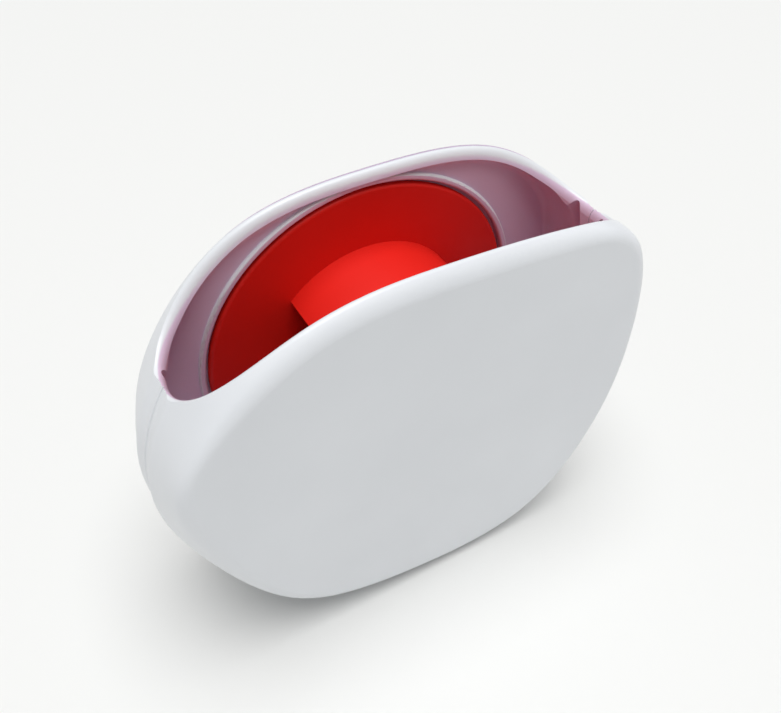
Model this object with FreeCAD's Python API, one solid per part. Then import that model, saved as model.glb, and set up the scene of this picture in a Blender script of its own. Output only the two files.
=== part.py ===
"""Spring-return cord winder: a pebble-shaped pocket case with a sprung reel inside.

Frame: +Z up, X along the case's length, the front face looks along -Y.
Origin: the middle of the base, on the surface that the case stands on. Millimetres.
"""

import os
from math import cos, pi, radians, sin

import FreeCAD
import Part

V = FreeCAD.Vector

# ---------------------------------------------------------------- case
case_thickness = 22.0
face_wall = 1.8
side_wall = 1.7
flank_power = 1.6        # how the side wall bends from the seam outline to a face outline
edge_radius = 1.6        # round between side wall and face
inner_edge_radius = 0.8
base_cut = 0.4           # depth of the flat ground into the rounded underside
seam_gap = 0.1           # hairline between the two shells
seam_round = 0.25        # softened edge along the seam
beyond = 60.0            # the reach of a cutting block, past the case on every side

# control points of three closed curves seen from the front: the seam, and the outlines that
# the side wall leans in to at the front face and at the back face
seam_outline = [
    (34.2, 32.0), (34.9, 50.5), (19.3, 62.6), (0.4, 63.5), (-19.0, 63.6), (-32.9, 47.8),
    (-36.7, 32.1), (-31.0, 15.3), (-19.7, 3.3), (-0.7, -0.4), (20.2, -0.5), (32.5, 17.2),
]
front_outline = [
    (33.0, 34.5), (30.5, 56.1), (19.8, 59.0), (0.9, 60.0), (-16.6, 60.4), (-31.3, 48.6),
    (-35.4, 40.0), (-28.0, 19.5), (-19.5, 5.7), (0.0, 1.7), (20.1, 1.3), (30.4, 18.6),
]
back_outline = [
    (31.9, 32.2), (32.9, 49.6), (19.7, 61.4), (1.2, 61.7), (-17.1, 61.0), (-30.2, 46.3),
    (-33.6, 32.3), (-27.8, 16.2), (-18.5, 5.2), (-0.4, 2.0), (18.9, 2.0), (29.7, 17.6),
]
top_end = 0.4            # the curves' parameter where their upper run ends, from 0 at the right

# the mouth: a long opening along the top, from end to end
mouth_half_length = 30.6
mouth_power = 6.5        # how square the opening's ends are, seen from above
mouth_floor = 37.0
mouth_ceiling = 75.0     # how far the cutter reaches above the case
rim_crest = 9.4          # the rim's highest line, as a half width of the opening
rim_sink = 0.15          # how far the rim's round is sunk, so that its crest is not sharp
rim_width = 0.9          # half axes of the rim's elliptic round, across and down
rim_height = 1.8
rim_angles = (-30, -12, 5, 22, 40, 57, 75)

# tongue and groove along the seam
tongue_height = 1.2
tongue_thickness = 0.9
tongue_inset = 0.8
tongue_top = 42.0        # the tongue stays clear of the mouth's ends
fit_gap = 0.05

# ---------------------------------------------------------------- reel
axle_z = 35.9
flange_radius = 22.9
flange_thickness = 0.8
flange_gap = 0.3         # between a flange and the recess floor behind it
recess_wall = 1.1        # shell wall left behind the flange
hub_radius = 14.5
hub_wall = 1.5
gate_start = 138.0       # the cord gate: an opening in the hub wall, in degrees about the axle
gate_end = 188.0
hook_start = 171.0       # the finger in the gate that the cord's middle loops over
hook_half_width = 2.2
gate_front = 7.6         # how far the gate reaches towards the front flange
pocket_radius = 10.4     # outside of the ring wall that closes the pocket behind the gate
pocket_wall = 0.8

# ring round each flange on the shell's inside
ring_gap = 0.5
ring_wall = 0.9
ring_rise = 0.5
ring_round = 0.3

# ---------------------------------------------------------------- spring and axle
axle_radius = 1.5
running_gap = 0.05
arbor_radius = 2.5
cup_radius = 9.55
cup_wall = 0.7
spring_width = 6.0
spring_strip = 0.22
spring_turns = 8.5
spring_inner = 2.95
spring_outer = 8.35

# along the axle, as distances from the middle plane
half = case_thickness / 2
inner_face = half - face_wall
recess_floor = half - recess_wall
flange_back = recess_floor - flange_gap
flange_front = flange_back - flange_thickness
boss_end = 7.4
washer_thickness = 0.3
bush_flange = 0.5
web_outer = boss_end - washer_thickness - 2 * running_gap - bush_flange
web_thickness = 1.0
web_inner = web_outer - web_thickness
bush_end = web_inner - 0.3
clip_thickness = 0.4
front_boss_end = boss_end + clip_thickness + running_gap
cup_back = web_inner - 0.02
cup_floor = 0.7
spring_back = cup_back - cup_floor - 0.1
spring_front = spring_back - spring_width
lid_back = spring_front - 0.1
lid_thickness = 0.5
lid_front = lid_back - lid_thickness

# ---------------------------------------------------------------- screws
case_screws = [(18.5, 14.2), (-18.5, 14.2), (27.0, 30.0), (-27.3, 31.0)]
case_screw_radius = 1.0
case_head_radius = 1.9
case_head_height = 1.2
case_head_sink = 1.6
boss_radius = 2.5
reel_screw_angles = (20.0, 100.0, 262.0)
reel_screw_circle = 11.7
reel_screw_radius = 0.6
reel_head_radius = 1.15
reel_head_height = 0.55
post_radius = 1.45


# ---------------------------------------------------------------- helpers
def disc(radius, y_from, y_to, x=0.0, z=axle_z):
    """A cylinder along Y between two distances from the middle plane."""
    low, high = min(y_from, y_to), max(y_from, y_to)
    return Part.makeCylinder(radius, high - low, V(x, low, z), V(0, 1, 0))


def ring(outer, inner, y_from, y_to):
    low, high = sorted((y_from, y_to))
    return disc(outer, low, high).cut(disc(inner, low - 1, high + 1))


def box(low, high):
    return Part.makeBox(high[0] - low[0], high[1] - low[1], high[2] - low[2], V(*low))


def polar(radius, degrees, y=0.0):
    """A point at an angle about the axle, counter-clockwise from +X seen from the front."""
    turn = radians(degrees)
    return V(radius * cos(turn), y, axle_z + radius * sin(turn))


def sector(outer, inner, start, end, y_from, y_to):
    """A ring segment about the axle, from one angle to another."""
    middle = (start + end) / 2
    edges = [
        Part.Arc(polar(outer, start, y_from), polar(outer, middle, y_from),
                 polar(outer, end, y_from)).toShape(),
        Part.makeLine(polar(outer, end, y_from), polar(inner, end, y_from)),
        Part.Arc(polar(inner, end, y_from), polar(inner, middle, y_from),
                 polar(inner, start, y_from)).toShape(),
        Part.makeLine(polar(inner, start, y_from), polar(outer, start, y_from)),
    ]
    return Part.Face(Part.Wire(edges)).extrude(V(0, y_to - y_from, 0))


def one_solid(shape):
    """The shape's largest solid, without the crumbs that a cut can leave."""
    return max(shape.Solids, key=lambda s: s.Volume)


# ---------------------------------------------------------------- the case's outer form
def closed_curve(points):
    curve = Part.BSplineCurve()
    curve.buildFromPoles([V(x, 0, z) for x, z in points], True, 3)
    return curve


SEAM = closed_curve(seam_outline)
FACES = {-1: closed_curve(front_outline), 1: closed_curve(back_outline)}


def inward(t):
    """The direction into the case, square to the seam's outline."""
    tangent = SEAM.tangent(t)[0]
    return V(-tangent.z, 0, tangent.x)


def closed_wire(points):
    count = len(points)
    curve = Part.BSplineCurve()
    curve.interpolate(Points=points, PeriodicFlag=True,
                      Parameters=[i / count for i in range(count + 1)])
    return Part.Wire([curve.toShape()])


def edge_round(y, half_width, radius):
    """How far the round between side wall and face stands in, at a distance y from the seam."""
    into_edge = min(radius, max(0.0, abs(y) - (half_width - radius)))
    return radius - (radius * radius - into_edge * into_edge) ** 0.5


def form_point(t, y, inset):
    """A point of the side wall, moved inwards by inset; y is negative in the front half."""
    seam = SEAM.value(t)
    face = FACES[-1 if y < 0 else 1].value(t)
    return seam + (face - seam) * (abs(y) / half) ** flank_power + inward(t) * inset + V(0, y, 0)


def half_form(side, start, half_width, wall, radius, count=36):
    """One half of the case's form, from the seam to the face, with a round edge."""
    flank = half_width - radius
    levels = [start + (flank - start) * k / 5 for k in range(6)]
    levels += [flank + radius * sin(radians(a)) for a in (25, 48, 68, 82, 90)]
    rows = []
    for y in levels:
        inset = wall + edge_round(y, half_width, radius)
        rows.append([form_point(i / count, side * y, inset) for i in range(count)])
    return Part.makeLoft([closed_wire(row) for row in rows], True, False)


def seam_band(inset, y_from, y_to, count=36):
    """The inside of the seam's outline, moved in, as a plain prism across the seam."""
    points = [SEAM.value(i / count) + inward(i / count) * inset + V(0, y_from, 0)
              for i in range(count)]
    return Part.Face(closed_wire(points)).extrude(V(0, y_to - y_from, 0))


def lowered(shape):
    """The pieces that follow the outline drop with it when the base is ground flat."""
    moved = shape.copy()
    moved.translate(V(0, 0, -base_cut))
    return moved


# ---------------------------------------------------------------- the mouth
def top_point(x, y):
    """The point of the side wall's upper run above (x, y), found by halving."""
    inset = edge_round(y, half, edge_radius)
    right, left = 0.0, top_end
    while left - right > 1e-9:
        middle = (right + left) / 2
        if form_point(middle, y, inset).x > x:
            right = middle
        else:
            left = middle
    return form_point(left, y, inset)


def rim_row(angle, count=48):
    """A closed row of points round the mouth, at an angle inwards from the rim's crest."""
    inwards = rim_width * sin(radians(angle))
    drop = rim_sink + rim_height * (1 - cos(radians(angle)))
    points = []
    for i in range(count):
        along = cos(2 * pi * i / count)
        across = (1 - abs(along) ** mouth_power) ** 0.5 * (1 if 2 * i < count else -1)
        crest = top_point(mouth_half_length * along, rim_crest * across)
        points.append(crest - V(inwards * along, inwards * across, drop))
    return points


def mouth():
    """The mouth's cutter: a funnel with a rounded throat, and upright walls above and below."""
    rows = [rim_row(angle) for angle in rim_angles]
    rim = [closed_wire(row) for row in rows]
    above = closed_wire([V(p.x, p.y, mouth_ceiling) for p in rows[0]])
    below = closed_wire([V(p.x, p.y, mouth_floor) for p in rows[-1]])
    faces = Part.makeLoft(rim, False, False).Faces + [Part.Face(above), Part.Face(below)]
    faces += Part.makeLoft([rim[0], above], False, True).Faces
    faces += Part.makeLoft([rim[-1], below], False, True).Faces
    skin = Part.Shell(faces)
    skin.sewShape(1e-4)
    return lowered(Part.makeSolid(skin))


MOUTH = mouth()


# ---------------------------------------------------------------- shells
def edges_at(shape, distance, reach=0.05):
    """The edges that lie at one distance from the seam."""
    return [edge for edge in shape.Edges
            if abs(abs(edge.BoundBox.YMin) - distance) < reach
            and abs(abs(edge.BoundBox.YMax) - distance) < reach]


def half_case(side):
    """One hollow half of the case, with its mouth, before the flange seat and screw bosses."""
    outer = half_form(side, seam_gap / 2, half, 0, edge_radius)
    outer = outer.makeFillet(seam_round, edges_at(outer, seam_gap / 2))
    inner = half_form(side, 0, inner_face, side_wall, inner_edge_radius)
    ground = box((-beyond, -beyond, -beyond), (beyond, beyond, base_cut))
    return lowered(outer.cut(inner).cut(ground)).cut(MOUTH)


def flange_seat(side):
    """The shallow round recess behind a flange, cut into the face wall."""
    return disc(flange_radius + ring_gap, side * (inner_face - 1), side * recess_floor)


def flange_ring(side):
    """The low round-topped ring that stands about the flange, on the face wall."""
    inner = flange_radius + ring_gap
    part = ring(inner + ring_wall, inner, side * (inner_face - ring_rise),
                side * (inner_face + 0.3))
    top = inner_face - ring_rise
    return part.makeFillet(ring_round, edges_at(part, top))


def axle_boss(side, end):
    """The socket that holds one end of the axle."""
    return disc(3.3, side * end, side * (recess_floor + 0.2))


def shell(side, end):
    part = half_case(side).cut(flange_seat(side))
    part = part.fuse([flange_ring(side).cut(MOUTH), axle_boss(side, end)])
    for x, z in case_screws:
        part = part.fuse(disc(boss_radius, side * seam_gap / 2, side * (inner_face + 0.3), x, z))
    return part


def seam_rim(outside, inside, y_from, y_to):
    """A band round the seam between two insets, up to where the mouth begins."""
    band = seam_band(outside, y_from, y_to).cut(seam_band(inside, y_from - 1, y_to + 1))
    return lowered(band).cut(box((-beyond, -beyond, tongue_top), (beyond, beyond, 2 * beyond)))


def tongue():
    """A thin rim on the back shell that slides into a groove in the front shell."""
    return seam_rim(tongue_inset + fit_gap, tongue_inset + tongue_thickness - fit_gap,
                    -tongue_height + fit_gap, 1.5)


def groove():
    return seam_rim(tongue_inset, tongue_inset + tongue_thickness + 0.3, -tongue_height, 1)


def front_shell():
    part = shell(-1, front_boss_end).cut(groove())
    part = part.cut(disc(axle_radius, -recess_floor - 0.3, 0))
    for x, z in case_screws:
        part = part.cut(disc(case_screw_radius - 0.02, -inner_face, 0, x, z))
    return one_solid(part)


def back_shell():
    part = shell(1, boss_end).fuse(tongue())
    part = part.cut(disc(axle_radius, recess_floor + 0.3, 0))
    for x, z in case_screws:
        part = part.cut(disc(case_screw_radius + 0.2, -2, half + 1, x, z))
        part = part.cut(disc(case_head_radius + 0.2, half - case_head_sink - case_head_height,
                             half + 1, x, z))
    return one_solid(part)


# ---------------------------------------------------------------- screws
def cross_recess(size, depth, y_head, side, x, z):
    """A cross slot in a screw head that faces side."""
    low, high = sorted((y_head, y_head - side * depth))
    arm = size * 0.22
    across = box((x - size, low, z - arm), (x + size, high, z + arm))
    upright = box((x - arm, low, z - size), (x + arm, high, z + size))
    return across.fuse(upright)


def case_screw(x, z):
    seat = half - case_head_sink - case_head_height
    head = disc(case_head_radius, seat, seat + case_head_height, x, z)
    rim = [e for e in head.Edges if abs(e.CenterOfMass.y - seat - case_head_height) < 0.01
           and e.Closed]
    head = head.makeFillet(0.4, rim)
    shank = disc(case_screw_radius - 0.02, -inner_face + 1.5, seat, x, z)
    screw = head.fuse(shank)
    return one_solid(screw.cut(cross_recess(1.1, 0.7, seat + case_head_height, 1, x, z)))


def reel_screw(angle):
    place = polar(reel_screw_circle, angle)
    seat = -flange_back + reel_head_height + 0.1
    head = disc(reel_head_radius, seat, seat - reel_head_height, place.x, place.z)
    shank = disc(reel_screw_radius, seat, seat + 6.0, place.x, place.z)
    slot = cross_recess(0.7, 0.35, seat - reel_head_height, -1, place.x, place.z)
    return one_solid(head.fuse(shank).cut(slot))


# ---------------------------------------------------------------- reel
def flange(side):
    """A thin disc with a softly rounded rim on the side that the cord lies against."""
    plate = disc(flange_radius, side * flange_front, side * flange_back)
    rim = [e for e in plate.Edges if e.Closed
           and abs(e.CenterOfMass.y - side * flange_front) < 0.01]
    return plate.makeFillet(0.45, rim)


def bush_well(side):
    """The hollow at the flange's middle that the shell's boss reaches into."""
    return disc(4.3, side * web_outer, side * (flange_back + 1))


def bush_seat(side):
    """The cup that carries the bush, deep inside the hub."""
    return disc(5.3, side * web_inner, side * flange_back)


def gate():
    """The opening through the hub wall and the pocket wall, down to the spring cup."""
    return sector(hub_radius + 1, pocket_radius - pocket_wall - 0.2, gate_start, gate_end,
                  -gate_front, flange_front)


def hook():
    """The finger in the gate, rooted in the gate's lower edge, with a rounded nose."""
    nose = polar(hub_radius - hub_wall / 2, hook_start)
    finger = sector(hub_radius, hub_radius - hub_wall, hook_start, gate_end + 2,
                    -hook_half_width, hook_half_width)
    tip = disc(hub_wall / 2 + 0.15, -hook_half_width, hook_half_width, nose.x, nose.z)
    return finger.fuse(tip)


def reel_drum():
    part = flange(1)
    part = part.fuse(ring(hub_radius, hub_radius - hub_wall, -flange_front, flange_front + 0.2))
    part = part.fuse(ring(pocket_radius, pocket_radius - pocket_wall, -gate_front,
                          flange_front + 0.2))
    part = part.cut(gate()).fuse(hook())
    part = part.fuse(bush_seat(1)).cut(bush_well(1))
    for angle in reel_screw_angles:
        place = polar(reel_screw_circle, angle)
        part = part.fuse(disc(post_radius, -gate_front, flange_front + 0.2, place.x, place.z))
    part = part.cut(disc(pocket_radius - pocket_wall, -flange_front, cup_back))
    for angle in reel_screw_angles:
        place = polar(reel_screw_circle, angle)
        part = part.cut(disc(reel_screw_radius, -gate_front - 1, 0, place.x, place.z))
    key = box((-1.0, spring_front, axle_z - pocket_radius), (1.0, cup_back, axle_z - cup_radius))
    part = part.cut(key)
    return one_solid(part.cut(disc(2.3, web_inner - 1, web_outer + 1)))


def reel_front_flange():
    part = flange(-1)
    part = part.fuse(disc(hub_radius - hub_wall - fit_gap, -flange_front, -gate_front - 0.02))
    part = part.fuse(bush_seat(-1)).cut(bush_well(-1))
    for angle in reel_screw_angles:
        place = polar(reel_screw_circle, angle)
        part = part.cut(disc(reel_screw_radius + 0.15, -flange_back - 1, 0, place.x, place.z))
        part = part.cut(disc(reel_head_radius + 0.1, -flange_back - 1,
                             -flange_back + reel_head_height + 0.1, place.x, place.z))
    return one_solid(part.cut(disc(2.3, -web_inner + 1, -web_outer - 1)))


def bush(side):
    part = disc(2.3, side * bush_end, side * web_outer)
    part = part.fuse(disc(3.0, side * web_outer, side * (web_outer + bush_flange)))
    return one_solid(part.cut(disc(axle_radius + running_gap, side * 2, side * half)))


def washer(side):
    far = boss_end
    return ring(2.9, axle_radius + 0.02, side * (far - washer_thickness), side * far)


# ---------------------------------------------------------------- axle and spring
def axle():
    """A steel pin with a groove for the retaining clip near its front end."""
    pin = disc(axle_radius, -(recess_floor + 0.25), recess_floor + 0.25)
    ends = [e for e in pin.Edges if e.Closed]
    pin = pin.makeChamfer(0.25, ends)
    groove_cut = ring(2.5, axle_radius - 0.3, -boss_end - clip_thickness, -boss_end)
    return one_solid(pin.cut(groove_cut))


def retaining_clip():
    """An open ring that snaps into the axle's groove."""
    part = ring(2.9, axle_radius - 0.28, -boss_end - clip_thickness + 0.02, -boss_end - 0.02)
    opening = box((-0.95, -boss_end - 1, axle_z - 4), (0.95, -boss_end + 1, axle_z))
    return one_solid(part.cut(opening))


def spring_arbor():
    """The fixed sleeve that the spring's inner end hooks into."""
    part = ring(arbor_radius, axle_radius + 0.02, lid_front, bush_end - 0.1)
    slot = box((axle_radius - 0.2, spring_front - 0.2, axle_z - 0.25),
               (arbor_radius + 1, spring_back + 0.1, axle_z + 0.25))
    return one_solid(part.cut(slot))


def at_spring_end(shape):
    """A copy turned about the axle, from +X to where the spring's outer end lies."""
    moved = shape.copy()
    moved.rotate(V(0, 0, axle_z), V(0, 1, 0), -360 * (spring_turns % 1))
    return moved


def spring_cup():
    part = disc(cup_radius, lid_front - 0.3, cup_back)
    part = part.cut(disc(cup_radius - cup_wall, lid_front - 1, cup_back - cup_floor))
    part = part.cut(disc(arbor_radius + 0.35, -half, half))
    key = box((-0.9, spring_front + 0.1, axle_z - pocket_radius + 0.1),
              (0.9, cup_back, axle_z - cup_radius + 0.3))
    slot = box((cup_radius - cup_wall - 0.3, spring_front - 0.2, axle_z - 0.3),
               (cup_radius + 0.1, spring_back + 0.1, axle_z + 0.3))
    return one_solid(part.fuse(key).cut(at_spring_end(slot)))


def spring_cup_lid():
    return ring(cup_radius - cup_wall - 0.02, arbor_radius + 0.35, lid_front, lid_back)


def spiral_point(half_turns, offset):
    growth = (spring_outer - spring_inner) / (2 * spring_turns)
    return polar(spring_inner + growth * half_turns + offset, 180 * half_turns, spring_front)


def spiral(offset):
    """One face of the coiled strip, an arc for each half turn, from the arbor out to the cup."""
    return [Part.Arc(spiral_point(k, offset), spiral_point(k + 0.5, offset),
                     spiral_point(k + 1, offset)).toShape()
            for k in range(int(2 * spring_turns))]


def mainspring():
    """A flat coiled strip: its inner end hooks the arbor and its outer end the cup."""
    thin = spring_strip / 2
    ends = [Part.makeLine(spiral_point(k, -thin), spiral_point(k, thin))
            for k in (0, int(2 * spring_turns))]
    outline_edges = spiral(-thin) + spiral(thin) + ends
    face = Part.Face(Part.Wire(Part.__sortEdges__(outline_edges)))
    strip = face.extrude(V(0, spring_width, 0))
    inner_tang = box((axle_radius + 0.1, spring_front, axle_z - thin),
                     (spring_inner + 0.05, spring_back, axle_z + thin))
    outer_tang = box((spring_outer - 0.05, spring_front, axle_z - thin),
                     (cup_radius - 0.1, spring_back, axle_z + thin))
    return one_solid(strip.fuse([inner_tang, at_spring_end(outer_tang)]))


# ---------------------------------------------------------------- write the parts
def build():
    return {
        "front_shell": front_shell(),
        "back_shell": back_shell(),
        "case_screws": Part.makeCompound([case_screw(x, z) for x, z in case_screws]),
        "axle": axle(),
        "retaining_clip": retaining_clip(),
        "front_washer": washer(-1),
        "back_washer": washer(1),
        "spring_arbor": spring_arbor(),
        "mainspring": mainspring(),
        "spring_cup": spring_cup(),
        "spring_cup_lid": spring_cup_lid(),
        "reel_drum": reel_drum(),
        "reel_front_flange": reel_front_flange(),
        "reel_screws": Part.makeCompound([reel_screw(a) for a in reel_screw_angles]),
        "front_bush": bush(-1),
        "back_bush": bush(1),
    }


os.makedirs("parts", exist_ok=True)
for name, shape in build().items():
    size = shape.BoundBox
    print(f"{name:20s} solids {len(shape.Solids)} valid {shape.isValid()} "
          f"volume {shape.Volume:9.1f} x {size.XMin:.2f}..{size.XMax:.2f} "
          f"y {size.YMin:.2f}..{size.YMax:.2f} z {size.ZMin:.2f}..{size.ZMax:.2f}")
    shape.exportStep(f"parts/{name}.step")
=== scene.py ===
"""Looks for the cord winder: materials, floor, studio light and camera. Metres."""

from math import cos, radians, sin

import bpy
from mathutils import Matrix, Vector

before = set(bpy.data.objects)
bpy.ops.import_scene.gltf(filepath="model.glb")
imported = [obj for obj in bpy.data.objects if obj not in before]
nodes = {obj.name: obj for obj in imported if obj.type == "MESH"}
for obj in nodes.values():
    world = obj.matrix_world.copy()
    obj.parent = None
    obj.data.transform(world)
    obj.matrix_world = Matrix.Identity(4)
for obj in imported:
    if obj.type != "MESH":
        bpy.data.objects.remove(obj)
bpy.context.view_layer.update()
scene = bpy.context.scene

SKY_LOW, SKY_HIGH = 0.11, 0.48       # dome brightness at the horizon and overhead
KEY_PLACE = (-0.05, -0.27, 2.58)      # a large soft light almost overhead, a little in front
KEY_SIZE, KEY_POWER = 2.1, 60.0
CASE_MIDDLE = (0, 0, 0.036)
TURN = (0.002, -0.004)   # outside to inside: distance from CASE_MIDDLE along a surface's normal
BUMP_DEPTH = 0.00002


# ---------------------------------------------------------------- materials
def new_material(name, color, roughness, **inputs):
    """A principled material, returned with its node tree and its shader."""
    material = bpy.data.materials.new(name)
    material.use_nodes = True
    tree = material.node_tree
    shader = tree.nodes["Principled BSDF"]
    shader.inputs["Base Color"].default_value = (*color, 1)
    shader.inputs["Roughness"].default_value = roughness
    for key, value in inputs.items():
        shader.inputs[key.replace("_", " ")].default_value = value
    return material, tree, shader


def noise(tree, scale, detail=3.0, rough=0.5, stretch=(1, 1, 1)):
    """Object-space noise; returns its factor output."""
    place = tree.nodes.new("ShaderNodeTexCoord")
    mapping = tree.nodes.new("ShaderNodeMapping")
    mapping.inputs["Scale"].default_value = stretch
    texture = tree.nodes.new("ShaderNodeTexNoise")
    texture.inputs["Scale"].default_value = scale
    texture.inputs["Detail"].default_value = detail
    texture.inputs["Roughness"].default_value = rough
    tree.links.new(place.outputs["Object"], mapping.inputs["Vector"])
    tree.links.new(mapping.outputs["Vector"], texture.inputs["Vector"])
    return texture.outputs["Fac"]


def ramp(tree, factor, low, high):
    """Maps the middle of a noise factor's range onto a blend between two colours."""
    node = tree.nodes.new("ShaderNodeValToRGB")
    node.color_ramp.elements[0].position = 0.35
    node.color_ramp.elements[1].position = 0.65
    node.color_ramp.elements[0].color = (*low, 1)
    node.color_ramp.elements[1].color = (*high, 1)
    tree.links.new(factor, node.inputs["Fac"])
    return node.outputs["Color"]


def span(tree, factor, low, high):
    """Maps a factor from 0..1 onto low..high."""
    node = tree.nodes.new("ShaderNodeMapRange")
    node.inputs["To Min"].default_value = low
    node.inputs["To Max"].default_value = high
    tree.links.new(factor, node.inputs["Value"])
    return node.outputs["Result"]


def bump(tree, shader, height, strength):
    """A bump of BUMP_DEPTH from a height factor."""
    node = tree.nodes.new("ShaderNodeBump")
    node.inputs["Strength"].default_value = strength
    node.inputs["Distance"].default_value = BUMP_DEPTH
    tree.links.new(height, node.inputs["Height"])
    tree.links.new(node.outputs["Normal"], shader.inputs["Normal"])


def facing_middle(tree):
    """A factor that is 1 on the case's inner surfaces, which face its middle, and 0 outside."""
    geometry = tree.nodes.new("ShaderNodeNewGeometry")
    away = tree.nodes.new("ShaderNodeVectorMath")
    away.operation = "SUBTRACT"
    away.inputs[1].default_value = CASE_MIDDLE
    outward = tree.nodes.new("ShaderNodeVectorMath")
    outward.operation = "DOT_PRODUCT"
    inside = tree.nodes.new("ShaderNodeMapRange")
    inside.inputs["From Min"].default_value, inside.inputs["From Max"].default_value = TURN
    tree.links.new(geometry.outputs["Position"], away.inputs[0])
    tree.links.new(away.outputs["Vector"], outward.inputs[0])
    tree.links.new(geometry.outputs["Normal"], outward.inputs[1])
    tree.links.new(outward.outputs["Value"], inside.inputs["Value"])
    return inside.outputs["Result"]


def paint_bounce_and_shade_inside(material, painted_bounce_colour):
    """Painted reflection and painted shade: multiplies a mauve colour into the surfaces that face
    the middle, standing in for red light bounced from the reel and walls and for the shade inside
    the case.
    """
    tree = material.node_tree
    shader = tree.nodes["Principled BSDF"]
    plain = shader.inputs["Base Color"].links[0].from_socket
    blend = tree.nodes.new("ShaderNodeMix")
    blend.data_type = "RGBA"
    blend.blend_type = "MULTIPLY"
    colors = [socket for socket in blend.inputs if socket.type == "RGBA"]
    colors[1].default_value = (*painted_bounce_colour, 1)
    tree.links.new(facing_middle(tree), blend.inputs["Factor"])
    tree.links.new(plain, colors[0])
    result = [socket for socket in blend.outputs if socket.type == "RGBA"][0]
    tree.links.new(result, shader.inputs["Base Color"])


def moulded_plastic(name, low, high, roughness, spread, **inputs):
    """Moulded plastic: a faint drift in tone, uneven gloss and a fine orange-peel skin."""
    material, tree, shader = new_material(name, high, roughness, **inputs)
    tree.links.new(ramp(tree, noise(tree, 45, 2), low, high), shader.inputs["Base Color"])
    tree.links.new(span(tree, noise(tree, 160, 4), roughness - spread, roughness + spread),
                   shader.inputs["Roughness"])
    bump(tree, shader, noise(tree, 1800, 2), 0.35)
    return material


def metal(name, color, roughness, stretch):
    """Bright metal with fine drawn lines."""
    material, tree, shader = new_material(name, color, roughness, Metallic=1.0)
    lines = noise(tree, 900, 3, 0.6, stretch)
    tree.links.new(span(tree, lines, roughness - 0.08, roughness + 0.12),
                   shader.inputs["Roughness"])
    bump(tree, shader, lines, 0.3)
    return material


def dress(material, *names):
    """Gives the named CAD nodes a material."""
    for name in names:
        mesh = nodes[name].data
        mesh.materials.clear()
        mesh.materials.append(material)


white = moulded_plastic("white_case", (0.80, 0.82, 0.85), (0.83, 0.85, 0.88), 0.38, 0.04,
                        Coat_Weight=0.15, Coat_Roughness=0.2)
# painted reflection and painted shade: the case's inner surfaces get a mauve multiply for the
# reel's red bounce and the shade inside
paint_bounce_and_shade_inside(white, (0.95, 0.74, 0.90))
red = moulded_plastic("red_reel", (0.74, 0.014, 0.008), (0.80, 0.017, 0.010), 0.5, 0.05,
                      Specular_IOR_Level=0.3)
acetal = moulded_plastic("acetal", (0.78, 0.76, 0.70), (0.84, 0.82, 0.76), 0.45, 0.05)
# painted shade: near-black instead of the parts' natural acetal, standing in for the dark depth
# inside the hub's gate
painted_shade_acetal = moulded_plastic("acetal_painted_shade_black", (0.020, 0.012, 0.011), (0.028, 0.016, 0.014), 0.5, 0.05,
                       Specular_IOR_Level=0.3)
steel = metal("zinc_steel", (0.62, 0.62, 0.64), 0.3, (1, 0.1, 1))
spring_steel = metal("spring_steel", (0.33, 0.37, 0.44), 0.28, (1, 0.1, 1))

dress(white, "front_shell", "back_shell")
dress(red, "reel_drum", "reel_front_flange")
dress(acetal, "front_washer", "back_washer", "front_bush", "back_bush")
# painted shade: spring cup, lid and arbor are near-black for the shadowed depth inside the hub
dress(painted_shade_acetal, "spring_cup", "spring_cup_lid", "spring_arbor")
dress(steel, "axle", "case_screws", "reel_screws")
dress(spring_steel, "mainspring", "retaining_clip")


# ---------------------------------------------------------------- floor, light and camera
def make_floor():
    bpy.ops.mesh.primitive_plane_add(size=6)
    floor = bpy.context.object
    floor.name = "floor"
    material, tree, shader = new_material("floor_white", (0.83, 0.83, 0.815), 0.8,
                                          Specular_IOR_Level=0.0)
    floor.data.materials.append(material)


def make_key():
    data = bpy.data.lights.new("key", "AREA")
    data.shape = "DISK"
    data.size = KEY_SIZE
    data.energy = KEY_POWER
    light = bpy.data.objects.new("key", data)
    light.location = KEY_PLACE
    aim = Vector(CASE_MIDDLE) - Vector(KEY_PLACE)
    light.rotation_euler = aim.to_track_quat("-Z", "Y").to_euler()
    scene.collection.objects.link(light)


def make_sky():
    """A studio dome: bright overhead and dimmer towards the horizon."""
    world = bpy.data.worlds.new("studio")
    world.use_nodes = True
    tree = world.node_tree
    place = tree.nodes.new("ShaderNodeTexCoord")
    axes = tree.nodes.new("ShaderNodeSeparateXYZ")
    height = tree.nodes.new("ShaderNodeMapRange")
    height.inputs["To Min"].default_value = SKY_LOW
    height.inputs["To Max"].default_value = SKY_HIGH
    background = tree.nodes["Background"]
    background.inputs["Color"].default_value = (0.97, 0.985, 1.0, 1)
    tree.links.new(place.outputs["Generated"], axes.inputs["Vector"])
    tree.links.new(axes.outputs["Z"], height.inputs["Value"])
    tree.links.new(height.outputs["Result"], background.inputs["Strength"])
    scene.world = world


def make_camera():
    azimuth, elevation, roll = radians(-31.0), radians(45.1), radians(1.3)
    distance = 0.110
    target = Vector((-0.00105, 0, 0.0387))
    back = Vector((sin(azimuth) * cos(elevation), -cos(azimuth) * cos(elevation), sin(elevation)))
    right = Vector((cos(azimuth), sin(azimuth), 0))
    up = back.cross(right)
    right, up = right * cos(roll) + up * sin(roll), up * cos(roll) - right * sin(roll)
    data = bpy.data.cameras.new("camera")
    data.lens = 38.6
    data.sensor_width = 36
    data.clip_start = 0.005
    camera = bpy.data.objects.new("camera", data)
    turn = Matrix((right, up, back)).transposed().to_4x4()
    camera.matrix_world = Matrix.Translation(target + back * distance) @ turn
    scene.collection.objects.link(camera)
    scene.camera = camera


make_floor()
make_sky()
make_key()
make_camera()
scene.view_settings.view_transform = "Standard"
